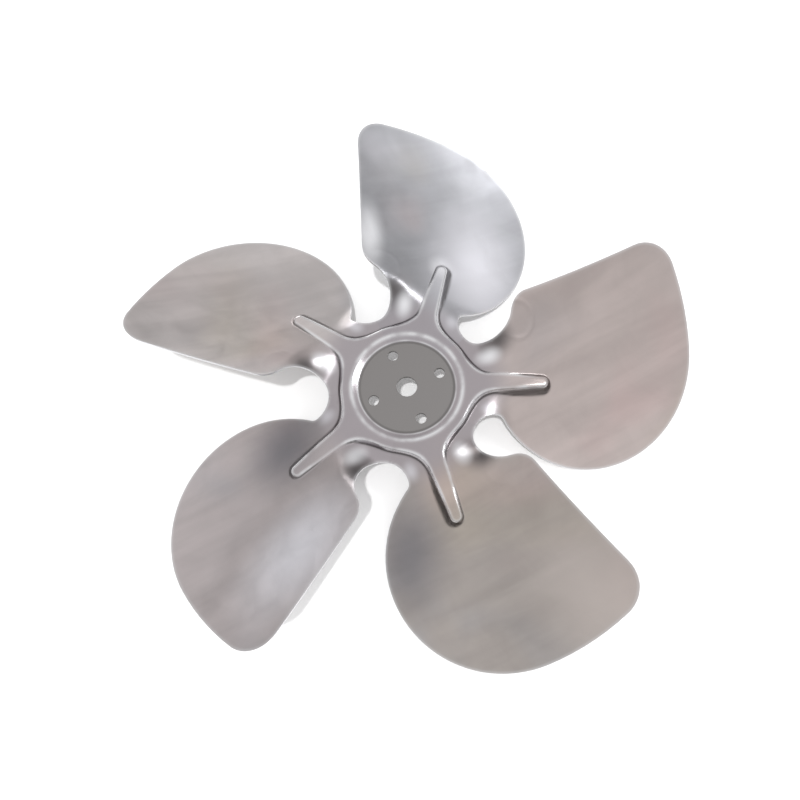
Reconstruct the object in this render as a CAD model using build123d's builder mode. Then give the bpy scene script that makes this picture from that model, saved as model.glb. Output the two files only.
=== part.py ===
from build123d import *
import math
import os

# Five-bladed axial impeller pressed from one sheet of aluminium.
# Frame: Z is the shaft axis, pointing at the front. The origin is the middle of the bore,
# halfway through the mounting disc. The rib of the first blade lies along +X.

# driving dimensions, in millimetres and degrees
OVERALL_DIAMETER = 230.0
BLADE_COUNT = 5
SHEET = 1.2

BORE_DIAMETER = 8.4
BOLT_CIRCLE_DIAMETER = 29.0
BOLT_HOLE_DIAMETER = 4.3
BOLT_HOLE_COUNT = 4
BOLT_START_ANGLE = 21.0

DISC_RADIUS = 19.4
PLATEAU_INNER_RADIUS = 22.8
PAN_JOIN_RADIUS = 25.0
BEND_RADIUS = 1.5
PLATEAU_LIFT = 1.6
PLATEAU_RADIUS = 28.6
WEB_DROP = 0.6

RIB_ROOT_HALF_WIDTH = 5.2
RIB_TIP_HALF_WIDTH = 2.9
RIB_REACH = 57.6
RIB_CROWN_START = 31.0
RIB_CROWN_RADIUS = 110.0
RIB_DRAFT = 25.0
RIB_FLARE_RADIUS = 7.0
RIB_EDGE_RADIUS = 1.4
STAR_DEPTH = 10.0

NOTCH_RADIUS = 10.1
NOTCH_CENTRE_RADIUS = 42.0
NOTCH_ANGLE = -32.7
NECK_INNER = 26.5
NECK_OUTER = 39.0
NECK_FILLET = 3.0

STRAIGHT_EDGE_ANGLE = 18.5
STRAIGHT_EDGE_OFFSET = 15.1
OUTER_CORNER_RADIUS = 13.0
ROOT_CORNER_RADIUS = 8.0
BELLY_ROOT_RADIUS = 33.0
BELLY_ANGLE = 5.5
BELLY_SWEEP = 165.0
TIP_ARC_RADIUS = 80.0

# height of the blade's back surface: a gentle dish, set at a pitch
BLADE_MIDDLE = 75.0
BLADE_MIDDLE_DROP = 6.8
BLADE_PITCH = 24.5
BLADE_CAMBER_RADIUS = 132.0
BLADE_DISH_RADIUS = 167.0
BLADE_RAKE = 0.067
BLADE_TWIST = 0.0009
BLEND_START = 27.0
BLEND_END = 41.0
GRID_START = 24.0
GRID_STEP = 3.0
GRID_MARGIN = 5.0

# derived dimensions
overall_radius = OVERALL_DIAMETER / 2
belly_radius = (overall_radius - BELLY_ROOT_RADIUS) / 2
sector = 360 / BLADE_COUNT
half_sheet = SHEET / 2
plateau_top = PLATEAU_LIFT + half_sheet
web_back = -WEB_DROP - half_sheet
tall = 80.0


def at_angle(radius, angle):
    """Point at a radius and an angle about the shaft axis."""
    return Vector(radius, 0).rotate(Axis.Z, angle)


def smooth_step(start, end, value):
    """Go from 0 at start to 1 at end with a level slope at both."""
    share = min(max((value - start) / (end - start), 0), 1)
    return share * share * (3 - 2 * share)


def back_height(x, y):
    """Height of the sheet's back surface for the blade along +X."""
    along = x - BLADE_MIDDLE
    blade = -BLADE_MIDDLE_DROP
    blade += math.tan(math.radians(BLADE_PITCH)) * y
    blade += y**2 / (2 * BLADE_CAMBER_RADIUS)
    blade += along**2 / (2 * BLADE_DISH_RADIUS)
    blade -= BLADE_RAKE * along
    blade -= BLADE_TWIST * along * y
    share = smooth_step(BLEND_START, BLEND_END, x)
    return web_back + share * (blade - web_back)


# plan of one blade: straight edge, rounded corner, tip arc and long belly arc
tip_centre_radius = overall_radius - TIP_ARC_RADIUS
edge_direction = at_angle(1, STRAIGHT_EDGE_ANGLE)
edge_foot = at_angle(STRAIGHT_EDGE_OFFSET, STRAIGHT_EDGE_ANGLE + 90)
edge_start = edge_foot + edge_direction * NOTCH_CENTRE_RADIUS
edge_lean = math.radians(STRAIGHT_EDGE_ANGLE - BELLY_ANGLE)
tip_to_edge = STRAIGHT_EDGE_OFFSET + tip_centre_radius * math.sin(edge_lean)
corner_angle = STRAIGHT_EDGE_ANGLE + math.degrees(math.asin(tip_to_edge / TIP_ARC_RADIUS))
tip_centre = at_angle(tip_centre_radius, BELLY_ANGLE)
belly_centre = at_angle(overall_radius - belly_radius, BELLY_ANGLE)

# back surface of one blade, from a grid of its heights that reaches past the blade's plan
corner = at_angle(TIP_ARC_RADIUS, corner_angle) + tip_centre
grid_low = belly_centre.Y - belly_radius - GRID_MARGIN
grid_high = corner.Y + GRID_MARGIN
grid_rows = math.ceil((overall_radius + GRID_MARGIN - GRID_START) / GRID_STEP) + 1
grid_columns = math.ceil((grid_high - grid_low) / GRID_STEP) + 1
rows = [GRID_START + GRID_STEP * step for step in range(grid_rows)]
columns = [grid_low + GRID_STEP * step for step in range(grid_columns)]
grid = [[Vector(x, y, back_height(x, y)) for y in columns] for x in rows]
back_surface = Face.make_surface_from_array_of_points(grid)

with BuildSketch() as blade_plan:
    with BuildLine():
        tip_arc = CenterArc(tip_centre, TIP_ARC_RADIUS, BELLY_ANGLE, corner_angle - BELLY_ANGLE)
        belly_arc = CenterArc(belly_centre, belly_radius, BELLY_ANGLE, -BELLY_SWEEP)
        Line(edge_start, tip_arc @ 1)
        Line(edge_start, belly_arc @ 1)
    make_face()
    with Locations(at_angle(NOTCH_CENTRE_RADIUS, NOTCH_ANGLE + sector)):
        Circle(NOTCH_RADIUS, mode=Mode.SUBTRACT)
    outer_corner = blade_plan.vertices().sort_by_distance(tip_arc @ 1)[0]
    fillet(outer_corner, OUTER_CORNER_RADIUS)
    root_corner = blade_plan.vertices().sort_by_distance(edge_start + edge_direction * NOTCH_RADIUS)[0]
    fillet(root_corner, ROOT_CORNER_RADIUS)

# the neck that joins the blade to the hub, between its two relief holes
neck_half_inner = NECK_INNER * math.tan(math.radians(sector / 2))
neck_half_outer = NECK_OUTER * math.tan(math.radians(sector / 2))
notch_places = [at_angle(NOTCH_CENTRE_RADIUS, NOTCH_ANGLE + sector * k) for k in range(BLADE_COUNT)]

with BuildSketch() as neck_plan:
    with BuildLine():
        Polyline(
            (NECK_INNER, -neck_half_inner),
            (NECK_OUTER, -neck_half_outer),
            (NECK_OUTER, neck_half_outer),
            (NECK_INNER, neck_half_inner),
            close=True,
        )
    make_face()
    with Locations(notch_places):
        Circle(NOTCH_RADIUS, mode=Mode.SUBTRACT)

with BuildSketch() as arm_plan:
    add(blade_plan.sketch)
    add(neck_plan.sketch)
    belly_root = arm_plan.vertices().sort_by_distance(at_angle(NECK_OUTER + 1, NOTCH_ANGLE + 13.8))[0]
    fillet(belly_root, NECK_FILLET)

with BuildPart() as arm:
    thicken(back_surface, amount=SHEET)
    with BuildSketch(Plane.XY.offset(-tall / 2)):
        add(arm_plan.sketch)
    extrude(amount=tall, mode=Mode.INTERSECT)

# flat web round the hub, reaching to where the necks begin
with BuildPart() as web:
    with BuildSketch(Plane.XY.offset(web_back)):
        RegularPolygon(NECK_INNER, BLADE_COUNT, major_radius=False, rotation=sector / 2)
        with Locations(notch_places):
            Circle(NOTCH_RADIUS, mode=Mode.SUBTRACT)
    extrude(amount=SHEET)

# pressed star: a plateau with five ribs, as a solid and as the hollow under it
with BuildSketch() as rib_plan:
    with Locations((PLATEAU_INNER_RADIUS, 0)):
        Circle(RIB_ROOT_HALF_WIDTH)
    with Locations((RIB_REACH - RIB_TIP_HALF_WIDTH, 0)):
        Circle(RIB_TIP_HALF_WIDTH)
    make_hull()

with BuildSketch() as star_plan:
    Circle(PLATEAU_RADIUS)
    with PolarLocations(0, BLADE_COUNT):
        add(rib_plan.sketch)
    rib_corners = star_plan.vertices().filter_by(
        lambda corner: abs(Vector(corner).length - PLATEAU_RADIUS) < 0.1
    )
    fillet(rib_corners, RIB_FLARE_RADIUS)


def crowned_roof(top):
    """Outline of everything under a roof that is flat over the plateau and falls along the ribs."""
    reach = 2 * overall_radius / 3
    run = reach - RIB_CROWN_START
    fall = RIB_CROWN_RADIUS - math.sqrt(RIB_CROWN_RADIUS**2 - run**2)
    with BuildLine() as outline:
        Line((0, top), (RIB_CROWN_START, top))
        RadiusArc((RIB_CROWN_START, top), (reach, top - fall), RIB_CROWN_RADIUS)
        Polyline((reach, top - fall), (reach, -tall), (0, -tall), (0, top))
    return outline.line


def star_block(top, inset, edge_radius):
    """Solid under the star's plan: drafted walls, crowned roof, rounded upper edge."""
    with BuildPart() as block:
        with BuildSketch(Plane.XY.offset(top)):
            add(star_plan.sketch)
            if inset > 0:
                offset(amount=-inset)
        extrude(amount=-STAR_DEPTH, taper=-RIB_DRAFT)
        with BuildSketch(Plane.XZ) as roof_side:
            add(crowned_roof(top))
            make_face()
        revolve(axis=Axis.Z, mode=Mode.INTERSECT)
        if edge_radius > 0:
            tops = block.faces().filter_by(lambda face: face.normal_at().Z > 0.9)
            walls = block.faces().filter_by(lambda face: 0.1 < face.normal_at().Z < 0.9)
            wall_edges = walls.edges()
            fillet([edge for edge in tops.edges() if edge in wall_edges], edge_radius)
    return block.part


wall_inset = SHEET / math.cos(math.radians(RIB_DRAFT)) - SHEET * math.tan(math.radians(RIB_DRAFT))
outer_star = star_block(plateau_top, 0, RIB_EDGE_RADIUS)
hollow_star = star_block(plateau_top - SHEET, wall_inset, 0)

# the star's ribs stand on the blades, so each is cut off inside the sheet
with BuildPart() as rib:
    extrude(back_surface.moved(Location((0, 0, half_sheet))), amount=tall / 2, dir=(0, 0, 1))
    with BuildSketch(Plane.XY.offset(-tall / 2)):
        with Locations((NECK_INNER, 0)):
            Rectangle(overall_radius, 2 * neck_half_outer, align=(Align.MIN, Align.CENTER))
    extrude(amount=tall, mode=Mode.INTERSECT)
    add(outer_star, mode=Mode.INTERSECT)

with BuildPart() as hub_cap:
    with BuildSketch(Plane.XY.offset(web_back + half_sheet)):
        RegularPolygon(NECK_INNER, BLADE_COUNT, major_radius=False, rotation=sector / 2)
    extrude(amount=tall / 4)
    add(outer_star, mode=Mode.INTERSECT)

with BuildPart() as armed:
    add(arm.part)
    add(rib.part)

# sunk mounting disc and the ring-shaped bend that lifts the plateau off it
with BuildPart() as pan:
    with BuildSketch(Plane.XZ) as pan_side:
        with BuildLine():
            Polyline(
                (0, half_sheet),
                (DISC_RADIUS, half_sheet),
                (PLATEAU_INNER_RADIUS, plateau_top),
                (PAN_JOIN_RADIUS, plateau_top),
                (PAN_JOIN_RADIUS, plateau_top - SHEET),
                (PLATEAU_INNER_RADIUS, plateau_top - SHEET),
                (DISC_RADIUS, -half_sheet),
                (0, -half_sheet),
                close=True,
            )
        make_face()
        bends = pan_side.vertices().filter_by(lambda corner: 1 < corner.X < PAN_JOIN_RADIUS - 1)
        fillet(bends, BEND_RADIUS)
    revolve(axis=Axis.Z)

with BuildPart() as impeller:
    add(web.part)
    add(hub_cap.part)
    with PolarLocations(0, BLADE_COUNT):
        add(armed.part)
    add(hollow_star, mode=Mode.SUBTRACT)
    Cylinder(PAN_JOIN_RADIUS, tall, mode=Mode.SUBTRACT)
    add(pan.part)
    Cylinder(BORE_DIAMETER / 2, tall, mode=Mode.SUBTRACT)
    with PolarLocations(BOLT_CIRCLE_DIAMETER / 2, BOLT_HOLE_COUNT, start_angle=BOLT_START_ANGLE):
        Cylinder(BOLT_HOLE_DIAMETER / 2, tall, mode=Mode.SUBTRACT)

impeller.part.label = "impeller"

os.makedirs("parts", exist_ok=True)
export_step(impeller.part, "parts/impeller.step")
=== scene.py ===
import logging
import math
from collections.abc import Callable
from dataclasses import dataclass, field
from enum import Enum

import bpy
import numpy as np
from mathutils import Matrix, Quaternion, Vector
from mathutils.geometry import delaunay_2d_cdt
from mathutils.kdtree import KDTree


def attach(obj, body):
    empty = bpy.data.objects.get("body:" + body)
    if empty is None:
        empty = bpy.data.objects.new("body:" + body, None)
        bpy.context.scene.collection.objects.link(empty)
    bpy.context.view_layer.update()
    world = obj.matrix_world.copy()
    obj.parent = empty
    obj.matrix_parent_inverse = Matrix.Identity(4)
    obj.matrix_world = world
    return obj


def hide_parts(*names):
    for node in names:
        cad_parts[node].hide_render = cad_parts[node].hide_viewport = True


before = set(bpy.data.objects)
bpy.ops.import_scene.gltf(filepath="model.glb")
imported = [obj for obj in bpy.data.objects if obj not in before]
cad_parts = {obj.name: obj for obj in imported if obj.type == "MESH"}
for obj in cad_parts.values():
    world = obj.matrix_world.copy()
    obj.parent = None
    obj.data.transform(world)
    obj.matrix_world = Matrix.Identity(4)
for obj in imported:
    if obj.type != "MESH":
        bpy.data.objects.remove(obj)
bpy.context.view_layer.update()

LOG = logging.getLogger("impeller")
MM = 0.001
FULL_TURN = 2 * math.pi

Colour = tuple[float, float, float]
Place = tuple[float, float, float]
Socket = bpy.types.NodeSocket
Field = Callable[[np.ndarray, np.ndarray], np.ndarray]


class Blade(Enum):
    """The five blades, counted anticlockwise from the one along +X."""

    RIGHT = 0
    TOP = 1
    LEFT = 2
    LOWER_LEFT = 3
    LOWER_RIGHT = 4


def linear(red: int, green: int, blue: int) -> Colour:
    """Turn a display colour into the linear colour that a shader takes.

    Args:
        red: Red from 0 to 255.
        green: Green from 0 to 255.
        blue: Blue from 0 to 255.

    Returns:
        The same colour in linear light.
    """

    def one(level: int) -> float:
        """Linear value of one channel."""
        share = level / 255
        return share / 12.92 if share <= 0.04045 else ((share + 0.055) / 1.055) ** 2.4

    return one(red), one(green), one(blue)


@dataclass(frozen=True)
class Layout:
    """Sizes of the pressed sheet that the finish has to follow, in metres and degrees."""

    disc_radius: float = 19.4 * MM
    tip_radius: float = 115.0 * MM
    gap_angle: float = -32.7
    blade_count: int = 5
    floor_level: float = -17.94 * MM


@dataclass(frozen=True)
class PressMark:
    """A ring, arc or dimple left in the sheet by the press, placed in a blade's own directions."""

    along: float
    across: float
    radius: float
    width: float
    strength: float
    facing: float = 0.0
    opening: float = 360.0
    blade: Blade | None = None


@dataclass(frozen=True)
class SoftPatch:
    """A soft-edged patch of painted light, a painted highlight when bright and painted shade when dark, in
    a blade's own directions.
    """

    along: float
    across: float
    radius: float
    colour: Colour
    strength: float
    blade: Blade | None = None
    stretch: float = 1.0
    lean: float = 0.0


@dataclass(frozen=True)
class Grain:
    """Soft random variation: features in a metre, finer layers, their share and a swirl."""

    scale: float
    detail: float = 2.0
    blur: float = 0.5
    swirl: float = 0.0


@dataclass(frozen=True)
class Passage:
    """A smooth passage from low to high as a value goes from start to end."""

    start: float
    end: float
    low: float = 0.0
    high: float = 1.0


@dataclass(frozen=True)
class SheetFinish:
    """Bright rolled aluminium after pressing, with painted highlights and painted shade among its colours.
    """

    # Lit tints: one metal painted lighter or darker on each blade, as each blade faces the light
    # differently.
    lit_tints: dict[Blade, Colour] = field(
        default_factory=lambda: {
            Blade.RIGHT: linear(180, 169, 166),
            Blade.TOP: linear(162, 162, 166),
            Blade.LEFT: linear(188, 182, 181),
            Blade.LOWER_LEFT: linear(180, 172, 172),
            Blade.LOWER_RIGHT: linear(166, 159, 155),
        }
    )
    # Hub: the metal painted a darker grey, a painted reflection of the darker room.
    hub: Colour = linear(158, 152, 156)
    disc: Colour = linear(138, 135, 134)
    # Edge: colour of the painted highlights on rims, shoulders, ring crest and sheared edges.
    edge: Colour = linear(222, 222, 224)
    # Painted shade colour for the inner bends and the deep rib walls.
    painted_shade: Colour = linear(62, 59, 58)
    rosy: Colour = linear(192, 170, 168)
    straw: Colour = linear(190, 176, 152)
    steel: Colour = linear(150, 152, 158)
    # Hollow shade: painted shade in the dimple beside each rib's root.
    hollow_shade: Colour = linear(92, 88, 88)
    # Colours of the painted shade, painted reflection and painted highlight patches.
    dark: Colour = linear(118, 117, 122)
    warm: Colour = linear(196, 186, 181)
    bright: Colour = linear(225, 224, 230)
    white: Colour = linear(247, 247, 250)

    clouds: Grain = Grain(16.0, 2.0, 0.5, 0.4)
    drift: Grain = Grain(12.0, 2.0, 0.5, 0.4)
    streaks: Grain = Grain(42.0, 4.0, 0.6, 0.8)
    rolling: Grain = Grain(26.0, 3.0, 0.6, 0.3)
    rolling_angle: float = 24.0
    rolling_stretch: Place = (2.8, 0.35, 1.0)
    rosy_share: Passage = Passage(0.52, 0.78, 0.0, 0.55)
    straw_share: Passage = Passage(0.55, 0.8, 0.0, 0.4)
    steel_share: Passage = Passage(0.46, 0.2, 0.0, 0.7)
    streak_shade: Passage = Passage(0.3, 0.7, 0.96, 1.04)
    rolling_shade: Passage = Passage(0.32, 0.68, 0.93, 1.07)

    hub_share: Passage = Passage(44.0 * MM, 30.0 * MM, 0.0, 0.85)
    disc_spill: float = 0.5 * MM
    disc_soft: float = 0.3 * MM
    rim_highlight_share: float = 0.5
    crease_shade_share: float = 0.85
    highlight_unevenness: Grain = Grain(120.0)
    highlight_unevenness_share: Passage = Passage(0.35, 0.6, 0.35, 0.9)
    sheared_tilt: Passage = Passage(0.35, 0.15)
    sheared_start: Passage = Passage(29.0 * MM, 31.0 * MM)

    smear: Grain = Grain(70.0, 3.0, 0.6, 0.8)
    blade_roughness: Passage = Passage(0.3, 0.75, 0.3, 0.44)
    blade_start: Passage = Passage(38.0 * MM, 60.0 * MM)
    neck_roughness: float = 0.285
    star_roughness: float = 0.2
    disc_roughness: float = 0.46
    burnish_gain: float = 0.06

    bend_radius: float = 0.25 * MM
    bend_samples: int = 4
    waves: Grain = Grain(30.0, 2.0, 0.5, 0.3)
    wave_height: float = 0.35 * MM
    texture: Grain = Grain(900.0, 3.0, 0.6)
    texture_height: float = 0.02 * MM
    texture_strength: float = 0.35


class Wiring:
    """Adds nodes to one material and joins them."""

    def __init__(self, tree: bpy.types.NodeTree) -> None:
        """Start on an empty tree.

        Args:
            tree: The node tree to fill.
        """
        self.tree = tree
        tree.nodes.clear()

    def node(self, kind: str, **settings: object) -> bpy.types.Node:
        """Add a node.

        Args:
            kind: Blender's name of the node type, without its ShaderNode prefix.
            settings: Properties to set on it.

        Returns:
            The new node.
        """
        made = self.tree.nodes.new("ShaderNode" + kind)
        for name, value in settings.items():
            setattr(made, name, value)
        return made

    def feed(self, target: Socket, value: object) -> None:
        """Give a socket a value, or join it to the socket that makes one.

        Args:
            target: The input to fill.
            value: A number, a tuple or an output socket.
        """
        if isinstance(value, bpy.types.NodeSocket):
            self.tree.links.new(value, target)
        elif isinstance(value, tuple) and len(value) == 3 and target.type == "RGBA":
            target.default_value = (*value, 1.0)
        else:
            target.default_value = value

    def math(self, operation: str, *values: object) -> Socket:
        """Join numbers by one operation.

        Args:
            operation: Blender's name of the operation.
            values: Numbers or output sockets.

        Returns:
            The result's socket.
        """
        made = self.node("Math", operation=operation)
        for socket, value in zip(made.inputs, values):
            self.feed(socket, value)
        return made.outputs[0]

    def length(self, x: Socket, y: Socket) -> Socket:
        """Length of a flat vector."""
        return self.math("SQRT", self.math("ADD", self.math("MULTIPLY", x, x), self.math("MULTIPLY", y, y)))

    def step(self, value: object, passage: Passage) -> Socket:
        """Pass smoothly between two results.

        Args:
            value: The number that decides.
            passage: Where the passage lies and what it joins.

        Returns:
            The result's socket.
        """
        made = self.node("MapRange", interpolation_type="SMOOTHSTEP")
        self.feed(made.inputs["Value"], value)
        self.feed(made.inputs["From Min"], passage.start)
        self.feed(made.inputs["From Max"], passage.end)
        self.feed(made.inputs["To Min"], passage.low)
        self.feed(made.inputs["To Max"], passage.high)
        return made.outputs["Result"]

    def mix(self, share: object, first: object, second: object, blend: str = "MIX") -> Socket:
        """Mix two colours.

        Args:
            share: How much of the second is used.
            first: The colour underneath.
            second: The colour laid over it.
            blend: Blender's name of the way to mix.

        Returns:
            The mixed colour's socket.
        """
        made = self.node("Mix", data_type="RGBA", blend_type=blend)
        self.feed(made.inputs["Factor"], share)
        colours = [socket for socket in made.inputs if socket.type == "RGBA"]
        self.feed(colours[0], first)
        self.feed(colours[1], second)
        return [socket for socket in made.outputs if socket.type == "RGBA"][0]

    def noise(self, place: Socket, grain: Grain) -> Socket:
        """Soft random variation.

        Args:
            place: Coordinates it follows.
            grain: How fine and how uneven it is.

        Returns:
            A number's socket, about 0.5 on average.
        """
        made = self.node("TexNoise")
        self.feed(made.inputs["Vector"], place)
        self.feed(made.inputs["Scale"], grain.scale)
        self.feed(made.inputs["Detail"], grain.detail)
        self.feed(made.inputs["Roughness"], grain.blur)
        self.feed(made.inputs["Distortion"], grain.swirl)
        return made.outputs["Fac"]


@dataclass
class SheetMetal:
    """The procedural material of the whole pressing."""

    finish: SheetFinish
    layout: Layout
    wire: Wiring = field(init=False)
    place: Socket = field(init=False)
    radius: Socket = field(init=False)
    blade: Socket = field(init=False)
    along: Socket = field(init=False)
    across: Socket = field(init=False)
    upright: Socket = field(init=False)

    def build(self, patches: list[SoftPatch]) -> bpy.types.Material:
        """Make the material.

        Args:
            patches: Patches of painted highlight and painted shade.

        Returns:
            The material.
        """
        material = bpy.data.materials.new("aluminium_sheet")
        material.use_nodes = True
        self.wire = Wiring(material.node_tree)
        self.find_place()
        colour = self.patched(self.hub_colour(self.blade_colour()), patches)
        colour = self.edge_highlight(self.painted_light_colour(colour))
        shader = self.wire.node("BsdfPrincipled")
        shader.inputs["Metallic"].default_value = 1.0
        self.wire.feed(shader.inputs["Base Color"], colour)
        self.wire.feed(shader.inputs["Roughness"], self.roughness())
        self.wire.feed(shader.inputs["Normal"], self.relief())
        output = self.wire.node("OutputMaterial")
        self.wire.feed(output.inputs["Surface"], shader.outputs["BSDF"])
        return material

    def find_place(self) -> None:
        """Work out each point's place on its own blade."""
        wire = self.wire
        self.place = wire.node("TexCoord").outputs["Object"]
        parts = wire.node("SeparateXYZ")
        wire.feed(parts.inputs[0], self.place)
        x, y = parts.outputs["X"], parts.outputs["Y"]
        self.radius = wire.length(x, y)
        gap = math.radians(self.layout.gap_angle)
        sector = FULL_TURN / self.layout.blade_count
        turned = wire.math("SUBTRACT", wire.math("ARCTAN2", y, x), gap)
        turned = wire.math("FLOORED_MODULO", turned, FULL_TURN)
        self.blade = wire.math("FLOOR", wire.math("DIVIDE", turned, sector))
        own = wire.math("ADD", wire.math("FLOORED_MODULO", turned, sector), gap)
        self.along = wire.math("MULTIPLY", self.radius, wire.math("COSINE", own))
        self.across = wire.math("MULTIPLY", self.radius, wire.math("SINE", own))
        facing = wire.node("SeparateXYZ")
        wire.feed(facing.inputs[0], wire.node("TexCoord").outputs["Normal"])
        self.upright = wire.math("ABSOLUTE", facing.outputs["Z"])

    def on_blade(self, blade: Blade) -> Socket:
        """A share of 1 on one blade and of 0 on the others."""
        apart = self.wire.math("ABSOLUTE", self.wire.math("SUBTRACT", self.blade, float(blade.value)))
        return self.wire.math("LESS_THAN", apart, 0.5)

    def patch_share(self, patch: SoftPatch) -> Socket:
        """How strongly a patch shows at a point.

        Args:
            patch: The patch.

        Returns:
            A share from 0 to the patch's strength.
        """
        wire = self.wire
        dx = wire.math("SUBTRACT", self.along, patch.along)
        dy = wire.math("SUBTRACT", self.across, patch.across)
        cosine, sine = math.cos(math.radians(patch.lean)), math.sin(math.radians(patch.lean))
        long = wire.math("ADD", wire.math("MULTIPLY", dx, cosine), wire.math("MULTIPLY", dy, sine))
        wide = wire.math("SUBTRACT", wire.math("MULTIPLY", dy, cosine), wire.math("MULTIPLY", dx, sine))
        apart = wire.length(wire.math("DIVIDE", long, patch.stretch), wide)
        share = wire.step(apart, Passage(patch.radius, 0.0, 0.0, patch.strength))
        if patch.blade is None:
            return share
        return wire.math("MULTIPLY", share, self.on_blade(patch.blade))

    def blade_colour(self) -> Socket:
        """Each blade's lit tint, the same metal painted lighter or darker as each blade catches the light,
        with its clouds and its rolling streaks.

        Returns:
            The colour's socket.
        """
        wire, finish = self.wire, self.finish
        colour: object = finish.lit_tints[Blade.RIGHT]
        for blade in list(Blade)[1:]:
            colour = wire.mix(self.on_blade(blade), colour, finish.lit_tints[blade])
        clouds = wire.noise(self.place, finish.clouds)
        drift = wire.noise(self.place, finish.drift)
        streaks = wire.step(wire.noise(self.place, finish.streaks), finish.streak_shade)
        rolling = wire.step(wire.noise(self.rolled(), finish.rolling), finish.rolling_shade)
        colour = wire.mix(wire.step(clouds, finish.rosy_share), colour, finish.rosy)
        colour = wire.mix(wire.step(drift, finish.straw_share), colour, finish.straw)
        colour = wire.mix(wire.step(clouds, finish.steel_share), colour, finish.steel)
        return wire.mix(1.0, colour, self.grey(wire.math("MULTIPLY", streaks, rolling)), "MULTIPLY")

    def patched(self, colour: Socket, patches: list[SoftPatch]) -> Socket:
        """Lay the painted highlight and painted shade patches over a colour.

        Args:
            colour: The colour so far.
            patches: The patches, in the order in which they are laid.

        Returns:
            The new colour's socket.
        """
        for patch in patches:
            colour = self.wire.mix(self.patch_share(patch), colour, patch.colour)
        return colour

    def rolled(self) -> Socket:
        """Coordinates drawn out along the direction in which the sheet was rolled.

        Returns:
            The coordinates' socket.
        """
        made = self.wire.node("Mapping", vector_type="TEXTURE")
        self.wire.feed(made.inputs["Vector"], self.place)
        made.inputs["Rotation"].default_value = (0.0, 0.0, math.radians(self.finish.rolling_angle))
        made.inputs["Scale"].default_value = self.finish.rolling_stretch
        return made.outputs[0]

    def grey(self, level: Socket) -> Socket:
        """A grey of the given level.

        Args:
            level: How light it is, from 0 to 1.

        Returns:
            The colour's socket.
        """
        made = self.wire.node("CombineColor")
        for socket in made.inputs:
            self.wire.feed(socket, level)
        return made.outputs[0]

    def hub_colour(self, colour: Socket) -> Socket:
        """Lay the hub's darker grey, a painted reflection of the darker room that the star mirrors, and the
        mounting disc's colour over the blades' colour.

        Args:
            colour: The colour so far.

        Returns:
            The new colour's socket.
        """
        wire, finish, rim = self.wire, self.finish, self.layout.disc_radius
        # Painted reflection: hub and necks shaded towards the hub's darker grey.
        colour = wire.mix(wire.step(self.radius, finish.hub_share), colour, finish.hub)
        disc = wire.step(self.radius, Passage(rim + finish.disc_spill, rim - finish.disc_soft))
        return wire.mix(disc, colour, finish.disc)

    def spread(self, name: str, strength: float) -> Socket:
        """One of the mesh's own levels, from 0 to a strength."""
        level = self.wire.node("Attribute", attribute_name=name).outputs["Fac"]
        return self.wire.math("MULTIPLY", level, strength)

    def painted_light_colour(self, colour: Socket) -> Socket:
        """Lay painted highlights along the rims, shoulders, ring crest and disc lip, and painted shade in
        the inner bends and on the deep rib walls.

        Args:
            colour: The colour so far.

        Returns:
            The new colour's socket.
        """
        wire, finish = self.wire, self.finish
        # Painted highlight: a thin bright line just inside each blade's rim.
        colour = wire.mix(self.spread("rim", finish.rim_highlight_share), colour, finish.edge)
        # Painted highlights on the shoulders, ring crest and disc lip, made uneven by noise.
        uneven_highlight = wire.step(wire.noise(self.place, finish.highlight_unevenness), finish.highlight_unevenness_share)
        colour = wire.mix(wire.math("MULTIPLY", self.spread("highlight_and_polish", 1.0), uneven_highlight), colour, finish.edge)
        # Painted shade in the inner bends, on the deep rib walls and round the disc.
        return wire.mix(self.spread("crease", finish.crease_shade_share), colour, finish.painted_shade)

    def edge_highlight(self, colour: Socket) -> Socket:
        """Paint the sheared edge's side faces bright, as a painted highlight along the cut edge.

        Args:
            colour: The colour so far.

        Returns:
            The new colour's socket.
        """
        wire, finish = self.wire, self.finish
        # Painted highlight on the steep side faces away from the hub.
        steep = wire.step(self.upright, finish.sheared_tilt)
        side = wire.math("MULTIPLY", steep, wire.step(self.radius, finish.sheared_start))
        return wire.mix(side, colour, finish.edge)

    def roughness(self) -> Socket:
        """Satin blades, a brighter star and a duller disc.

        Returns:
            The roughness's socket.
        """
        wire, finish, rim = self.wire, self.finish, self.layout.disc_radius
        blades = wire.step(wire.noise(self.place, finish.smear), finish.blade_roughness)
        far = wire.step(self.radius, finish.blade_start)
        beyond = wire.math("MULTIPLY", far, wire.math("SUBTRACT", blades, finish.neck_roughness))
        outside = wire.math("ADD", finish.neck_roughness, beyond)
        above_star = wire.math("SUBTRACT", outside, finish.star_roughness)
        lower = wire.math("MULTIPLY", self.spread("raised", 1.0), above_star)
        value = wire.math("SUBTRACT", outside, lower)
        disc = wire.step(self.radius, Passage(rim + finish.disc_soft, rim - finish.disc_soft))
        lift = wire.math("MULTIPLY", disc, wire.math("SUBTRACT", finish.disc_roughness, value))
        satin = wire.math("ADD", value, lift)
        return wire.math("SUBTRACT", satin, self.spread("highlight_and_polish", finish.burnish_gain))

    def relief(self) -> Socket:
        """Broken edges, faint waviness and fine rolling grain.

        Returns:
            The normals' socket.
        """
        wire, finish = self.wire, self.finish
        bevel = wire.node("Bevel", samples=finish.bend_samples)
        bevel.inputs["Radius"].default_value = finish.bend_radius
        waves = wire.math("MULTIPLY", wire.noise(self.place, finish.waves), finish.wave_height)
        waved = self.bumped(waves, bevel.outputs["Normal"], 1.0, 1.0)
        texture = wire.noise(self.place, finish.texture)
        return self.bumped(texture, waved, finish.texture_height, finish.texture_strength)

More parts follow.
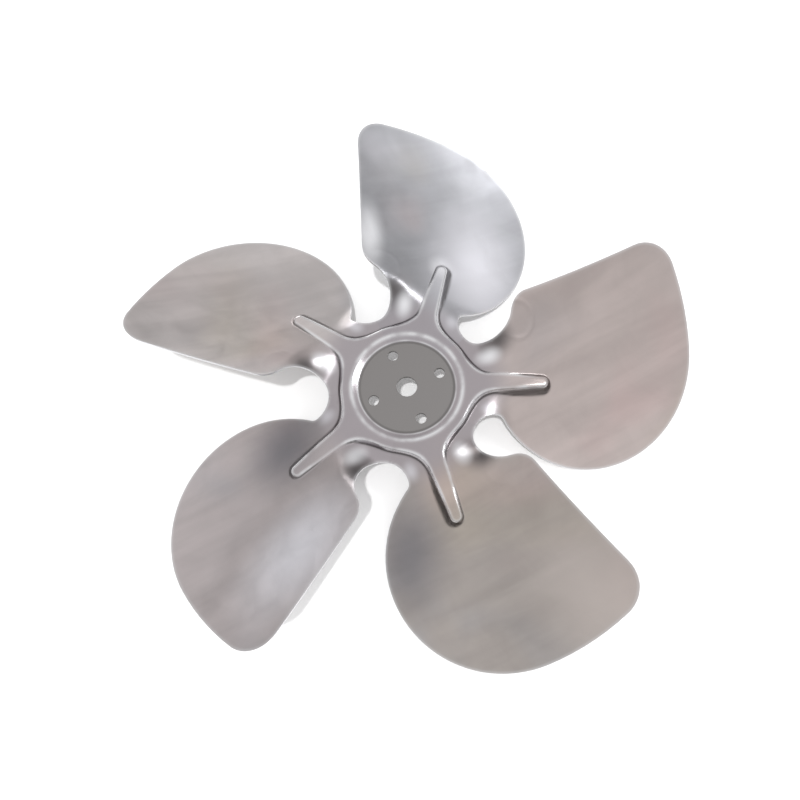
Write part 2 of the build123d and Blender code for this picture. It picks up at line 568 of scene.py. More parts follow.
    def bumped(self, height: Socket, normal: Socket, distance: float, strength: float) -> Socket:
        """Normals with a pattern of heights laid over them.

        Args:
            height: The pattern of heights.
            normal: The normals underneath.
            distance: Height in metres where the pattern is 1.
            strength: How much of it shows.

        Returns:
            The new normals' socket.
        """
        made = self.wire.node("Bump")
        made.inputs["Distance"].default_value = distance
        made.inputs["Strength"].default_value = strength
        self.wire.feed(made.inputs["Height"], height)
        self.wire.feed(made.inputs["Normal"], normal)
        return made.outputs["Normal"]


@dataclass(frozen=True)
class PressedForm:
    """Sizes of the pressed form and of its mesh, in millimetres and degrees."""

    sheet: float = 1.2
    disc_radius: float = 19.4
    ring_radius: float = 22.6
    bend_radius: float = 1.5
    bend_spread: float = 2.2
    plateau_lift: float = 1.6
    plateau_radius: float = 26.6
    web_drop: float = 0.6
    rib_root_half: float = 4.0
    rib_tip_half: float = 2.1
    rib_reach: float = 57.2
    crown_start: float = 31.0
    crown_radius: float = 110.0
    draft: float = 25.0
    flare: float = 9.0
    edge_radius: float = 1.3
    foot_blend: float = 1.1
    middle: float = 75.0
    middle_drop: float = 6.8
    pitch: float = 24.5
    camber_radius: float = 132.0
    dish_radius: float = 167.0
    rake: float = 0.067
    twist: float = 0.0009
    blend_start: float = 25.5
    blend_end: float = 44.5
    arc_fade: float = 0.25

    coarse_step: float = 1.6
    neck_step: float = 0.8
    fine_step: float = 0.5
    edge_step: float = 1.0
    slope_step: float = 0.05
    normal_step: float = 0.04
    turn_step: float = 0.02
    rim_rows: tuple[float, ...] = (0.45, 1.0)
    rim_clear: float = 0.4
    hole_clear: float = 0.5
    ring_margin: float = 2.0
    wall_inside: float = -1.6
    wall_outside: float = 4.2
    neck_outside: float = 9.0
    fine_margin: float = 6.0
    neck_margin: float = 16.0
    mark_margin: float = 1.0
    upright_rim: float = 0.3
    rim_turn: float = 2.2
    side_tilt: float = 0.12
    place_steps: float = 1e6
    fewest_corners: int = 5
    joining: float = 1e-5


@dataclass(frozen=True)
class Band:
    """A soft band beside a line: how far off it lies, how wide and how strong it is."""

    shift: float
    width: float
    strength: float = 1.0

    def level(self, away: np.ndarray) -> np.ndarray:
        """The band's level at distances from the line."""
        return self.strength * np.exp(-(((away - self.shift) / self.width) ** 2))


@dataclass(frozen=True)
class LightBands:
    """Where painted highlights and painted shade lie, in millimetres."""

    # Bands of painted highlight: star's shoulders, ring crest, disc lip and blade rims.
    shoulder: Band = Band(-0.1, 0.55)
    shoulder_start: float = 1.0
    crest: Band = Band(-0.1, 0.8)
    lip: Band = Band(0.5, 0.35, 0.8)
    rim: Band = Band(0.0, 0.6)
    # Bands of painted shade: star's foot, disc's bend and the deep rib walls.
    foot: Band = Band(0.0, 0.7)
    disc_bend: Band = Band(-0.2, 0.35, 0.8)
    wall_start: float = 0.2
    wall_end: float = 0.3
    wall_depth: float = 2.2
    clockwise_wall_shade: float = 0.95
    other_wall_shade: float = 0.4
    raised_end: float = 1.2
    raised_fade: float = 1.0


def smooth(share: np.ndarray) -> np.ndarray:
    """Ease a share from 0 to 1 in and out."""
    return share * share * (3 - 2 * share)


def slopes(height: Field, x: np.ndarray, y: np.ndarray, step: float) -> tuple[np.ndarray, np.ndarray]:
    """Slopes of a height field.

    Args:
        height: Gives the height at points.
        x: The points' places along the first direction.
        y: Their places along the second.
        step: How far to either side the height is read.

    Returns:
        The slopes along the two directions.
    """
    slope_x = (height(x + step, y) - height(x - step, y)) / (2 * step)
    slope_y = (height(x, y + step) - height(x, y - step)) / (2 * step)
    return slope_x, slope_y


@dataclass
class FormedSheet:
    """The pressing as one fine closed mesh, with rounded star, ring and ribs."""

    layout: Layout
    marks: list[PressMark]
    form: PressedForm = PressedForm()
    light_bands: LightBands = LightBands()

    def own_place(self, x: np.ndarray, y: np.ndarray) -> tuple[np.ndarray, np.ndarray, np.ndarray]:
        """Blade number and place in that blade's own directions, for points in millimetres.

        Args:
            x: The points' places along X, in millimetres.
            y: Their places along Y, in millimetres.

        Returns:
            The blades' numbers, and the places along and across them.
        """
        sector = 2 * np.pi / self.layout.blade_count
        gap = math.radians(self.layout.gap_angle)
        radius = np.hypot(x, y)
        turned = np.mod(np.arctan2(y, x) - gap, 2 * np.pi)
        blade = np.floor(turned / sector)
        own = turned - blade * sector + gap
        return blade, radius * np.cos(own), radius * np.sin(own)

    def sheet_back(self, x: np.ndarray, y: np.ndarray) -> np.ndarray:
        """Height of the sheet's back before the star is pressed, in a blade's own directions.

        Args:
            x: Places along the blade.
            y: Places across it.

        Returns:
            The heights in millimetres.
        """
        form = self.form
        along = x - form.middle
        blade = -form.middle_drop + math.tan(math.radians(form.pitch)) * y
        blade = blade + y**2 / (2 * form.camber_radius) + along**2 / (2 * form.dish_radius)
        blade = blade - form.rake * along - form.twist * along * y
        share = np.clip((x - form.blend_start) / (form.blend_end - form.blend_start), 0, 1)
        share = share**3 * (share * (6 * share - 15) + 10)
        web = -form.web_drop - form.sheet / 2
        return web + share * (blade - web)

    def sheet_front(self, x: np.ndarray, y: np.ndarray) -> np.ndarray:
        """Height of the sheet's front before the star is pressed."""
        slope_x, slope_y = slopes(self.sheet_back, x, y, self.form.slope_step)
        return self.sheet_back(x, y) + self.form.sheet * np.sqrt(1 + slope_x**2 + slope_y**2)

    def star_distance(self, x: np.ndarray, y: np.ndarray) -> np.ndarray:
        """Distance outside the star's outline, negative inside, for points in millimetres.

        Args:
            x: The points' places along X, in millimetres.
            y: Their places along Y, in millimetres.

        Returns:
            The distances in millimetres.
        """
        form = self.form
        sector = 2 * np.pi / self.layout.blade_count
        radius = np.hypot(x, y)
        own = np.mod(np.arctan2(y, x) + sector / 2, sector) - sector / 2
        along, side = radius * np.cos(own), np.abs(radius * np.sin(own))
        start, end = form.ring_radius, form.rib_reach - form.rib_tip_half
        run = end - start
        lean = (form.rib_root_half - form.rib_tip_half) / run
        level = math.sqrt(1 - lean * lean)
        forward = along - start
        place = level * forward - lean * side
        straight = level * side + lean * forward - form.rib_root_half
        root = np.hypot(side, forward) - form.rib_root_half
        tip = np.hypot(side, forward - run) - form.rib_tip_half
        rib = np.where(place < 0, root, np.where(place > level * run, tip, straight))
        plateau = radius - form.plateau_radius
        near = np.maximum(form.flare - np.abs(rib - plateau), 0) / form.flare
        return np.minimum(rib, plateau) - near**2 * form.flare / 4

    def star_front(self, x: np.ndarray, y: np.ndarray) -> np.ndarray:
        """Height of the star's roof and of its drafted, round-shouldered walls.

        Args:
            x: The points' places along X, in millimetres.
            y: Their places along Y, in millimetres.

        Returns:
            The heights in millimetres.
        """
        form = self.form
        radius = np.hypot(x, y)
        beyond = np.maximum(radius - form.crown_start, 0)
        fall = form.crown_radius - np.sqrt(np.maximum(form.crown_radius**2 - beyond**2, 0.0))
        away = self.star_distance(x, y)
        steep = math.radians(90 - form.draft)
        tangent = form.edge_radius * math.tan(steep / 2)
        shoulder_end = tangent * math.cos(steep)
        on_arc = np.clip(away + tangent, 0, tangent + shoulder_end)
        drop = form.edge_radius - np.sqrt(form.edge_radius**2 - on_arc**2)
        drop = drop + np.maximum(away - shoulder_end, 0) * math.tan(steep)
        return form.plateau_lift + form.sheet / 2 - fall - drop

    def pan_front(self, radius: np.ndarray) -> np.ndarray:
        """Height of the sunk disc and of the ring-shaped bend round it.

        Args:
            radius: Distances from the middle, in millimetres.

        Returns:
            The heights in millimetres.
        """
        form = self.form
        slope = form.plateau_lift / (form.ring_radius - form.disc_radius)
        half = math.atan(slope) / 2
        reach = form.bend_radius * math.tan(half)
        low, high = form.disc_radius, form.ring_radius
        lift = np.clip((radius - low) * slope, 0, form.plateau_lift)
        blend = form.bend_spread * reach
        for corner, sign in ((low, 1.0), (high, -1.0)):
            near = np.maximum(1 - np.abs(radius - corner) / blend, 0)
            lift = lift + sign * near**2 * blend * slope / 4
        return form.sheet / 2 + lift

    def mark_lift(self, x: np.ndarray, y: np.ndarray) -> np.ndarray:
        """Height that the press marks add, for points in millimetres.

        Args:
            x: The points' places along X, in millimetres.
            y: Their places along Y, in millimetres.

        Returns:
            The heights in millimetres, negative in a dimple.
        """
        blade, along, across = self.own_place(x, y)
        total = np.zeros_like(x)
        for mark in self.marks:
            dx, dy = along - mark.along / MM, across - mark.across / MM
            off = np.abs(np.hypot(dx, dy) - mark.radius / MM)
            ridge = smooth(np.clip(1 - off / (mark.width / MM), 0, 1)) * mark.strength / MM
            if mark.opening < 360:
                level = np.cos(np.arctan2(dy, dx) - math.radians(mark.facing))
                limit = math.cos(math.radians(mark.opening / 2))
                ridge = ridge * smooth(np.clip((level - limit) / self.form.arc_fade, 0, 1))
            if mark.blade is not None:
                ridge = ridge * (blade == mark.blade.value)
            total = total + ridge
        return total

    def front(self, x: np.ndarray, y: np.ndarray) -> np.ndarray:
        """Height of the finished front.

        Args:
            x: The points' places along X, in millimetres.
            y: Their places along Y, in millimetres.

        Returns:
            The heights in millimetres.
        """
        form = self.form
        radius = np.hypot(x, y)
        _, along, across = self.own_place(x, y)
        sheet = self.sheet_front(along, across) + self.mark_lift(x, y)
        star = self.star_front(x, y)
        near = np.maximum(form.foot_blend - np.abs(sheet - star), 0) / form.foot_blend
        formed = np.maximum(sheet, star) + near**2 * form.foot_blend / 4
        return np.where(radius < form.ring_radius + form.ring_margin, self.pan_front(radius), formed)

    def highlight_and_polish(self, x: np.ndarray, y: np.ndarray) -> np.ndarray:
        """Level of painted highlight, most on the star's shoulders, the ring's crest and the disc's lip;
        the same level makes the metal there a little glossier.

        Args:
            x: The points' places along X, in millimetres.
            y: Their places along Y, in millimetres.

        Returns:
            Levels from 0 to 1.
        """
        form, light_bands = self.form, self.light_bands
        radius = np.hypot(x, y)
        on_star = radius > form.ring_radius + light_bands.shoulder_start
        shoulder = light_bands.shoulder.level(self.star_distance(x, y)) * on_star
        crest = light_bands.crest.level(radius - form.ring_radius)
        lip = light_bands.lip.level(radius - form.disc_radius)
        return np.clip(shoulder + crest + lip, 0, 1)

    def raised(self, x: np.ndarray, y: np.ndarray) -> np.ndarray:
        """Share of 1 on the star and within it, softened at the star's walls."""
        away = self.star_distance(x, y)
        return smooth(np.clip((self.light_bands.raised_end - away) / self.light_bands.raised_fade, 0, 1))

    def clockwise(self, x: np.ndarray, y: np.ndarray) -> np.ndarray:
        """Whether points lie on the clockwise side of the nearest rib."""
        sector = 2 * np.pi / self.layout.blade_count
        return np.mod(np.arctan2(y, x) + sector / 2, sector) < sector / 2

    def crease(self, x: np.ndarray, y: np.ndarray) -> np.ndarray:
        """Level of painted shade at the inner bend of the star's foot, on the deep rib walls and round the
        disc.

        Args:
            x: The points' places along X, in millimetres.
            y: Their places along Y, in millimetres.

        Returns:
            Levels from 0 to 1.
        """
        form, light_bands = self.form, self.light_bands
        _, along, across = self.own_place(x, y)
        star = self.star_front(x, y)
        apart = self.sheet_front(along, across) - star
        wall = self.star_distance(x, y) > light_bands.wall_start
        foot = light_bands.foot.level(apart) * wall
        painted_shade = np.where(self.clockwise(x, y), light_bands.clockwise_wall_shade, light_bands.other_wall_shade)
        deep = np.clip((form.plateau_lift - star) / light_bands.wall_depth, 0, 1) * painted_shade
        deep = deep * wall * (apart < light_bands.wall_end)
        disc = light_bands.disc_bend.level(np.hypot(x, y) - form.disc_radius)
        return np.clip(np.maximum(foot, deep) + disc, 0, 1)

    def normal(self, x: np.ndarray, y: np.ndarray) -> np.ndarray:
        """Upward normals of the finished front.

        Args:
            x: The points' places along X, in millimetres.
            y: Their places along Y, in millimetres.

        Returns:
            One normal for each point.
        """
        slope_x, slope_y = slopes(self.front, x, y, self.form.normal_step)
        made = np.stack([-slope_x, -slope_y, np.ones_like(x)], axis=1)
        return made / np.linalg.norm(made, axis=1, keepdims=True)

    def outline(self, node: bpy.types.Object) -> list[list[tuple[float, float]]]:
        """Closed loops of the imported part's plan, read from the upper rim of its sheared edges.

        Args:
            node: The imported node.

        Returns:
            The loops' corners in millimetres.
        """
        form, mesh = self.form, node.data
        index: dict[tuple[int, int, int], int] = {}
        places: list[tuple[float, float]] = []
        merged = []
        world = node.matrix_world
        for vertex in mesh.vertices:
            spot = world @ vertex.co
            key = tuple(round(part * form.place_steps) for part in spot)
            if key not in index:
                index[key] = len(places)
                places.append((spot.x / MM, spot.y / MM))
            merged.append(index[key])
        kinds: dict[tuple[int, int], list[str]] = {}
        for face in mesh.polygons:
            tilt = (world.to_3x3() @ face.normal).normalized().z
            kind = "side" if abs(tilt) < form.side_tilt else ("front" if tilt > 0 else "back")
            ring = [merged[v] for v in face.vertices]
            for a, b in zip(ring, ring[1:] + ring[:1]):
                if a != b:
                    kinds.setdefault((min(a, b), max(a, b)), []).append(kind)
        joined: dict[int, list[int]] = {}
        for (a, b), both in kinds.items():
            if sorted(both) == ["front", "side"]:
                joined.setdefault(a, []).append(b)
                joined.setdefault(b, []).append(a)
        loops = [[places[spot] for spot in loop] for loop in self.walk(joined)]
        return [loop for loop in loops if len(loop) > form.fewest_corners]

    def walk(self, joined: dict[int, list[int]]) -> list[list[int]]:
        """Follow joined points round until none is left.

        Args:
            joined: Each point's neighbours. It is emptied.

        Returns:
            The points of each loop, in order.
        """
        loops, longest = [], len(joined)
        while joined:
            start = next(iter(joined))
            loop, here, before = [start], start, -1
            while len(loop) <= longest:
                onward = [spot for spot in joined[here] if spot != before]
                if not onward or onward[0] == start:
                    break
                before, here = here, onward[0]
                loop.append(here)
            for spot in loop:
                joined.pop(spot, None)
            loops.append(loop)
        return loops

    def rim(self, loops: list[list[tuple[float, float]]]) -> tuple[list[Vector], list[tuple[int, int]]]:
        """Points along the loops at an even step, and the edges that join them.

        Args:
            loops: Closed loops of corners, in millimetres.

        Returns:
            The points and the edges.
        """
        spots: list[Vector] = []
        edges: list[tuple[int, int]] = []
        for loop in loops:
            first = len(spots)
            for (ax, ay), (bx, by) in zip(loop, loop[1:] + loop[:1]):
                parts = max(1, round(math.hypot(bx - ax, by - ay) / self.form.edge_step))
                for k in range(parts):
                    spots.append(Vector((ax + (bx - ax) * k / parts, ay + (by - ay) * k / parts)))
            last = len(spots) - 1
            edges.extend((k, k + 1) for k in range(first, last))
            edges.append((last, first))
        return spots, edges

    def inset_rows(self, spots: list[Vector], edges: list[tuple[int, int]], inner: float) -> list[Vector]:
        """Rows of points that follow the rim a little inside it.

        Args:
            spots: Points along the rim.
            edges: The edges that join them.
            inner: Radius within which a loop is a hole.

        Returns:
            The rows' points.
        """
        forward = {a: b for a, b in edges}
        backward = {b: a for a, b in edges}
        turn = 0.0
        for a, b in edges:
            if spots[a].length > inner:
                turn += spots[a].x * spots[b].y - spots[a].y * spots[b].x
        side = 1.0 if turn > 0 else -1.0
        made = []
        for k, spot in enumerate(spots):
            if spot.length < inner:
                continue
            run = spots[forward[k]] - spots[backward[k]]
            inward = Vector((-run.y, run.x)).normalized() * side
            made.extend(spot + inward * away for away in self.form.rim_rows)
        return made

    def grid(self, step: float, reach: float) -> tuple[np.ndarray, np.ndarray]:
        """Points of a triangular grid out to a radius.

        Args:
            step: Distance between neighbours, in millimetres.
            reach: The radius, in millimetres.

        Returns:
            The points' places along X and along Y.
        """
        across = np.arange(-reach, reach + step, step)
        down = np.arange(-reach, reach + step, step * math.sqrt(0.75))
        x, y = np.meshgrid(across, down)
        x = x + (np.arange(len(down)) % 2)[:, None] * step / 2
        keep = np.hypot(x, y) < reach
        return x[keep], y[keep]

    def near_mark(self, x: np.ndarray, y: np.ndarray) -> np.ndarray:
        """Whether points lie near a press mark.

        Args:
            x: The points' places along X, in millimetres.
            y: Their places along Y, in millimetres.

        Returns:
            True for each point that does.
        """
        blade, along, across = self.own_place(x, y)
        near = np.zeros_like(x, dtype=bool)
        for mark in self.marks:
            apart = np.hypot(along - mark.along / MM, across - mark.across / MM)
            close = np.abs(apart - mark.radius / MM) < mark.width / MM + self.form.mark_margin
            if mark.blade is not None:
                close &= blade == mark.blade.value
            near |= close
        return near

    def wall_points(self) -> tuple[np.ndarray, np.ndarray]:
        """Rows of points that follow the star's walls.

        Returns:
            The points' places along X and along Y.
        """
        form = self.form
        x, y = self.grid(form.fine_step, form.rib_reach + form.fine_margin)
        away = self.star_distance(x, y)
        wall = self.on_wall(away) & (np.hypot(x, y) > form.ring_radius + form.ring_margin)
        x, y, away = x[wall], y[wall], away[wall]
        turn_x, turn_y = slopes(self.star_distance, x, y, form.turn_step)
        shift = np.round(away / form.fine_step) * form.fine_step - away
        return x + shift * turn_x, y + shift * turn_y

    def on_wall(self, away: np.ndarray) -> np.ndarray:
        """Whether distances from the star's outline lie on its walls."""
        return (away > self.form.wall_inside) & (away < self.form.wall_outside)

    def inner_points(self, spots: list[Vector], edges: list[tuple[int, int]]) -> list[Vector]:
        """Points inside the plan: close together round the star, wider on the blades.

        Args:
            spots: Points along the rim.
            edges: The edges that join them.

        Returns:
            The points, clear of the rim.
        """
        form = self.form
        ring_low, ring_high = form.disc_radius - form.ring_margin, form.ring_radius + form.ring_margin
        tree = KDTree(len(spots))
        for k, spot in enumerate(spots):
            tree.insert((spot.x, spot.y, 0), k)
        tree.balance()
        made = self.inset_rows(spots, edges, form.disc_radius)

        def take(x: np.ndarray, y: np.ndarray, step: float) -> None:
            """Keep the points that lie clear of the rim."""
            for px, py in zip(x.tolist(), y.tolist()):
                clear = max(form.rim_rows) + form.rim_clear * step
                if math.hypot(px, py) < form.disc_radius:
                    clear = form.hole_clear * step
                if tree.find((px, py, 0))[2] > clear:
                    made.append(Vector((px, py)))

        take(*self.wall_points(), form.fine_step)
        for radius in np.arange(ring_low, ring_high, form.fine_step).tolist():
            turns = np.arange(0, 2 * np.pi, form.fine_step / radius)
            take(radius * np.cos(turns), radius * np.sin(turns), form.fine_step)
        x, y = self.grid(form.neck_step, form.rib_reach + form.neck_margin)
        away = self.star_distance(x, y)
        neck = (away < form.neck_outside) | self.near_mark(x, y)
        keep = neck & ~self.on_wall(away) & (np.hypot(x, y) > ring_high)
        take(x[keep], y[keep], form.neck_step)
        x, y = self.grid(form.coarse_step, self.layout.tip_radius / MM)
        away, radius = self.star_distance(x, y), np.hypot(x, y)
        open_blade = (away > form.neck_outside) & ~self.near_mark(x, y)
        ring = (radius > ring_low) & (radius < ring_high)
        keep = (open_blade | (radius < ring_low)) & ~ring
        take(x[keep], y[keep], form.coarse_step)
        return made

    def plan(self, node: bpy.types.Object) -> tuple[np.ndarray, np.ndarray]:
        """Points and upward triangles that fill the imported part's plan and leave its holes open.

        Args:
            node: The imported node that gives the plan.

        Returns:
            The points' places in millimetres and the triangles' corners.
        """
        loops = self.outline(node)
        spots, edges = self.rim(loops)
        inner = self.inner_points(spots, edges)
        verts, _, faces, *_ = delaunay_2d_cdt(spots + inner, edges, [], 1, self.form.joining)
        flat = np.array([(v.x, v.y) for v in verts])
        triangles = np.array(faces)
        middle = flat[triangles].mean(axis=1)
        keep = np.ones(len(triangles), dtype=bool)
        for loop in loops:
            ring = np.array(loop)
            centre = ring.mean(axis=0)
            size = np.hypot(*(ring - centre).T).mean()
            if size < self.form.disc_radius:
                keep &= np.hypot(*(middle - centre).T) > size
        used, places = np.unique(triangles[keep], return_inverse=True)
        triangles, flat = places.reshape(-1, 3), flat[used]
        a, b, c = flat[triangles[:, 0]], flat[triangles[:, 1]], flat[triangles[:, 2]]
        turn = (b[:, 0] - a[:, 0]) * (c[:, 1] - a[:, 1]) - (b[:, 1] - a[:, 1]) * (c[:, 0] - a[:, 0])
        triangles[turn < 0] = triangles[turn < 0][:, ::-1]
        return flat, triangles

    def border(self, triangles: np.ndarray) -> list[tuple[int, int]]:
        """Edges that only one triangle has, in that triangle's direction.

        Args:
            triangles: The triangles' corners.

        Returns:
            The edges.
        """
        sides: dict[tuple[int, int], None] = {}
        for p, q, r in triangles.tolist():
            sides.update(dict.fromkeys(((p, q), (q, r), (r, p))))
        return [(p, q) for p, q in sides if (q, p) not in sides]

    def rim_distance(self, flat: np.ndarray, border: list[tuple[int, int]]) -> np.ndarray:
        """Distance of each point from the nearest point of the rim.

        Args:
            flat: The points' places in millimetres.
            border: The rim's edges.

        Returns:
            The distances in millimetres.
        """
        tree = KDTree(len(border))
        for k, (p, _) in enumerate(border):
            tree.insert((*flat[p], 0), k)
        tree.balance()
        return np.array([tree.find((px, py, 0))[2] for px, py in flat.tolist()])

    def build(self, node: bpy.types.Object) -> bpy.types.Object:
        """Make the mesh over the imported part's plan.

        Args:
            node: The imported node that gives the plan.

        Returns:
            The new object.
        """
        form = self.form
        flat, triangles = self.plan(node)
        border = self.border(triangles)
        x, y = flat[:, 0], flat[:, 1]
        front = np.column_stack([x, y, self.front(x, y)])
        normal = self.normal(x, y)
        apart = self.rim_distance(flat, border)
        share = np.clip((apart - form.upright_rim) / form.rim_turn, 0, 1)[:, None]
        straight = np.column_stack([np.zeros_like(x), np.zeros_like(x), 1 / normal[:, 2]])
        back = front - form.sheet * (share * normal + (1 - share) * straight)
        count = len(flat)
        skin = triangles.tolist() + (triangles[:, ::-1] + count).tolist()
        skin += [(q, p, p + count, q + count) for p, q in border]
        mesh = bpy.data.meshes.new("formed_sheet")
        mesh.from_pydata((np.vstack([front, back]) * MM).tolist(), [], skin)
        mesh.update()
        mesh.shade_smooth()
        sharp = {(min(p, q) + k, max(p, q) + k) for p, q in border for k in (0, count)}
        for edge in mesh.edges:
            if tuple(sorted(edge.vertices)) in sharp:
                edge.use_edge_sharp = True
        levels = {
            # Painted highlight level, also used to lower the roughness.
            "highlight_and_polish": self.highlight_and_polish(x, y),
            # Painted shade level in the inner bends and on the deep walls.
            "crease": self.crease(x, y),
            "raised": self.raised(x, y),
            # Painted highlight level along the blades' rims.
            "rim": self.light_bands.rim.level(apart) * (np.hypot(x, y) > form.disc_radius),
        }
        for name, level in levels.items():
            spread = mesh.attributes.new(name, "FLOAT", "POINT")
            spread.data.foreach_set("value", np.concatenate([level, level]))
        sheet = bpy.data.objects.new("formed_sheet", mesh)
        bpy.context.scene.collection.objects.link(sheet)
        LOG.info("formed_sheet: %d faces, %d on its rim", len(mesh.polygons), len(border))
        return sheet


@dataclass(frozen=True)
class Impeller:
    """The pressing itself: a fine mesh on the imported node's plan, dressed."""

    layout: Layout
    finish: SheetFinish

    def marks(self) -> list[PressMark]:
        """Rings, dimples and arcs. Most of each arc lies past the closer grid, so the mesh leaves it out.

        Returns:
            The marks.
        """
        ring = {"along": 44.8 * MM, "across": 22.1 * MM, "radius": 6.4 * MM, "width": 1.1 * MM}
        return [
            PressMark(**ring, strength=0.07 * MM),
            PressMark(**ring, strength=0.2 * MM, blade=Blade.RIGHT),
            PressMark(37.3 * MM, 16.0 * MM, 0.0, 6.5 * MM, -0.7 * MM),
            PressMark(80.3 * MM, 19.6 * MM, 13.0 * MM, 1.8 * MM, 0.16 * MM, 20.0, 190.0, Blade.LOWER_LEFT),
            PressMark(77.5 * MM, 4.9 * MM, 12.0 * MM, 1.8 * MM, 0.1 * MM, 62.0, 170.0, Blade.LEFT),
        ]

    def patches(self) -> list[SoftPatch]:
        """Painted shade and painted highlights: first those of every blade, then single blades' own.

        Returns:
            The patches, in the order in which they are laid.
        """
        dark, bright, white = self.finish.dark, self.finish.bright, self.finish.white
        top, lower_left, lower_right = Blade.TOP, Blade.LOWER_LEFT, Blade.LOWER_RIGHT
        return [
            # Painted shade in the hollow beside each rib's root.
            SoftPatch(37.3 * MM, 16.0 * MM, 8.5 * MM, self.finish.hollow_shade, 0.9),
            # Painted highlights on the necks beside each rib.
            SoftPatch(33.5 * MM, 10.5 * MM, 5.0 * MM, white, 0.75, stretch=1.4),
            SoftPatch(33.0 * MM, -10.5 * MM, 4.0 * MM, bright, 0.5, stretch=1.4),
            # Painted highlights, painted shade and a warm painted reflection on single blades.
            SoftPatch(57.0 * MM, 0.0, 8.0 * MM, white, 0.8, top),
            SoftPatch(54.0 * MM, 31.0 * MM, 8.0 * MM, white, 0.95, top, stretch=2.6, lean=17.0),
            SoftPatch(96.0 * MM, 38.0 * MM, 12.0 * MM, bright, 0.3, top, stretch=1.6, lean=-60.0),
            SoftPatch(62.0 * MM, -22.0 * MM, 22.0 * MM, dark, 0.75, lower_right, stretch=1.6, lean=-20.0),
            SoftPatch(53.0 * MM, -12.0 * MM, 23.0 * MM, dark, 0.85, lower_left, stretch=1.3, lean=10.0),
            SoftPatch(60.0 * MM, -14.0 * MM, 30.0 * MM, bright, 0.95, top, stretch=1.5, lean=20.0),
            SoftPatch(70.0 * MM, 27.0 * MM, 22.0 * MM, bright, 0.85, lower_left, stretch=1.8, lean=12.0),
            SoftPatch(98.0 * MM, 38.0 * MM, 34.0 * MM, self.finish.warm, 0.8, lower_right, stretch=1.3),
        ]

    def dress(self) -> bpy.types.Object:
        """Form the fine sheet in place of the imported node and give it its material.

        Returns:
            The fine sheet.
        """
        sheet = FormedSheet(self.layout, self.marks()).build(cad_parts["impeller"])
        sheet.data.materials.append(SheetMetal(self.finish, self.layout).build(self.patches()))
        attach(sheet, "root")
        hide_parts("impeller")
        return sheet


@dataclass(frozen=True)
class Lamp:
    """One soft lamp: where it stands, how wide it is and how bright."""

    name: str
    azimuth: float
    elevation: float
    distance: float
    size: float
    power: float
    colour: Colour = (1.0, 1.0, 1.0)
    mirrored: bool = True

    def build(self) -> bpy.types.Object:
        """Make the lamp, aimed at the hub.

        Returns:
            The lamp.
        """
        data = bpy.data.lights.new(self.name, "AREA")
        data.shape = "DISK"
        data.size = self.size
        data.energy = self.power
        data.color = self.colour
        lamp = bpy.data.objects.new(self.name, data)
        lamp.visible_glossy = self.mirrored
        bpy.context.scene.collection.objects.link(lamp)
        turn, rise = math.radians(self.azimuth), math.radians(self.elevation)
        away = Vector((math.cos(turn) * math.cos(rise), math.sin(turn) * math.cos(rise), math.sin(rise)))
        lamp.location = away * self.distance
        lamp.rotation_mode = "QUATERNION"
        lamp.rotation_quaternion = away.to_track_quat("Z", "Y")
        return lamp


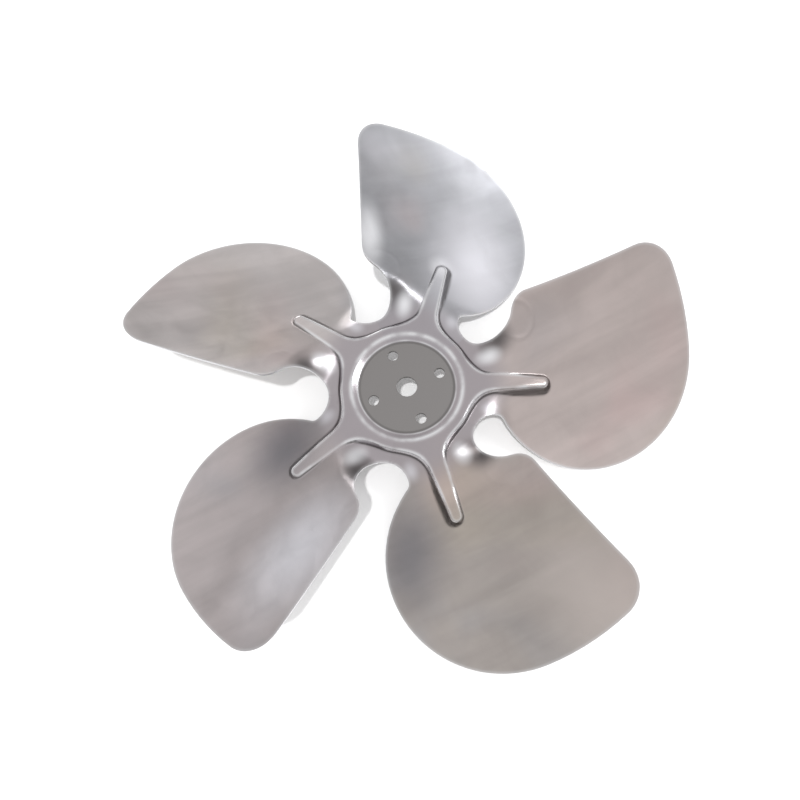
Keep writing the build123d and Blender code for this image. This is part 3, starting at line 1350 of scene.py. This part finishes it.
@dataclass(frozen=True)
class Studio:
    """Pale floor, white surroundings and plain soft light."""

    layout: Layout
    floor_size: float = 8.0
    floor_white: float = 0.94
    floor_glow: Passage = Passage(0.3, 0.9, 0.15, 1.0)
    horizon: Passage = Passage(0.0, 0.7, 0.5, 1.0)
    lamps: tuple[Lamp, ...] = (
        Lamp("window", 8.0, 48.0, 1.0, 0.3, 1.6, (0.97, 0.985, 1.0)),
        Lamp("far_side", 118.0, 8.0, 1.0, 0.45, 1.0),
        Lamp("shadow_maker", 251.0, 78.0, 1.6, 0.06, 14.0, mirrored=False),
    )

    def floor(self) -> bpy.types.Object:
        """Wide matt white floor that keeps the part's shadow.

        Returns:
            The floor.
        """
        bpy.ops.object.select_all(action="DESELECT")
        bpy.ops.mesh.primitive_plane_add(size=self.floor_size, location=(0, 0, self.layout.floor_level))
        floor = bpy.context.object
        floor.name = "floor"
        material = bpy.data.materials.new("matt_white")
        material.use_nodes = True
        wire = Wiring(material.node_tree)
        matt = wire.node("BsdfDiffuse")
        matt.inputs["Color"].default_value = (*[self.floor_white] * 3, 1)
        glow = wire.node("Emission")
        glow.inputs["Color"].default_value = (1.0, 1.0, 1.0, 1)
        path = wire.node("LightPath")
        seen = wire.math("MAXIMUM", path.outputs["Is Camera Ray"], path.outputs["Is Glossy Ray"])
        chosen = wire.node("MixShader")
        parts = wire.node("SeparateXYZ")
        wire.feed(parts.inputs[0], wire.node("TexCoord").outputs["Object"])
        radius = wire.length(parts.outputs["X"], parts.outputs["Y"])
        wire.feed(chosen.inputs[0], wire.math("MULTIPLY", seen, wire.step(radius, self.floor_glow)))
        wire.feed(chosen.inputs[1], matt.outputs["BSDF"])
        wire.feed(chosen.inputs[2], glow.outputs["Emission"])
        output = wire.node("OutputMaterial")
        wire.feed(output.inputs["Surface"], chosen.outputs[0])
        floor.data.materials.append(material)
        LOG.info("floor laid")
        return floor

    def surroundings(self) -> None:
        """White world, a little darker near the horizon where the metal sees it."""
        world = bpy.data.worlds.new("surroundings")
        bpy.context.scene.world = world
        world.use_nodes = True
        wire = Wiring(world.node_tree)
        parts = wire.node("SeparateXYZ")
        wire.feed(parts.inputs[0], wire.node("TexCoord").outputs["Generated"])
        rise = wire.step(parts.outputs["Z"], self.horizon)
        light = wire.node("Background")
        wire.feed(light.inputs["Strength"], rise)
        light.inputs["Color"].default_value = (1.0, 1.0, 1.0, 1)
        backdrop = wire.node("Background")
        backdrop.inputs["Color"].default_value = (1.0, 1.0, 1.0, 1)
        path = wire.node("LightPath")
        chosen = wire.node("MixShader")
        wire.feed(chosen.inputs[0], path.outputs["Is Camera Ray"])
        wire.feed(chosen.inputs[1], light.outputs[0])
        wire.feed(chosen.inputs[2], backdrop.outputs[0])
        output = wire.node("OutputWorld")
        wire.feed(output.inputs["Surface"], chosen.outputs[0])

    def build(self) -> None:
        """Make the floor, the world and the lamps."""
        self.floor()
        self.surroundings()
        for lamp in self.lamps:
            lamp.build()
        LOG.info("%d lamps lit", len(self.lamps))


@dataclass(frozen=True)
class Viewpoint:
    """Where the camera stands, as the turn and the carry that bring the part before the lens."""

    turn: Place = (-0.294, -0.033, 0.041)
    across: float = 2.748 * MM
    up: float = 5.277 * MM
    distance: float = 250.0 * MM
    focal_pixels: float = 616.6
    frame_pixels: float = 800.0
    sensor: float = 36.0

    def pose(self) -> Matrix:
        """Camera's place in the part's frame.

        Returns:
            The camera's matrix.
        """
        turn = Vector(self.turn)
        rotation = Quaternion(turn.normalized(), turn.length).to_matrix().to_4x4()
        carry = Matrix.Translation((self.across, self.up, -self.distance)) @ rotation
        return carry.inverted()

    def build(self) -> bpy.types.Object:
        """Make the camera and give it to the scene.

        Returns:
            The camera.
        """
        data = bpy.data.cameras.new("camera")
        data.sensor_width = self.sensor
        data.lens = self.focal_pixels / self.frame_pixels * self.sensor
        data.clip_start = MM
        camera = bpy.data.objects.new("camera", data)
        bpy.context.scene.collection.objects.link(camera)
        camera.matrix_world = self.pose()
        bpy.context.scene.camera = camera
        return camera


def main() -> None:
    """Dress the impeller, light it and set the camera."""
    logging.basicConfig(level=logging.INFO, format="%(name)s: %(message)s")
    layout = Layout()
    Impeller(layout, SheetFinish()).dress()
    Studio(layout).build()
    Viewpoint().build()
    bpy.context.scene.view_settings.view_transform = "Standard"


if __name__ == "__main__":
    main()
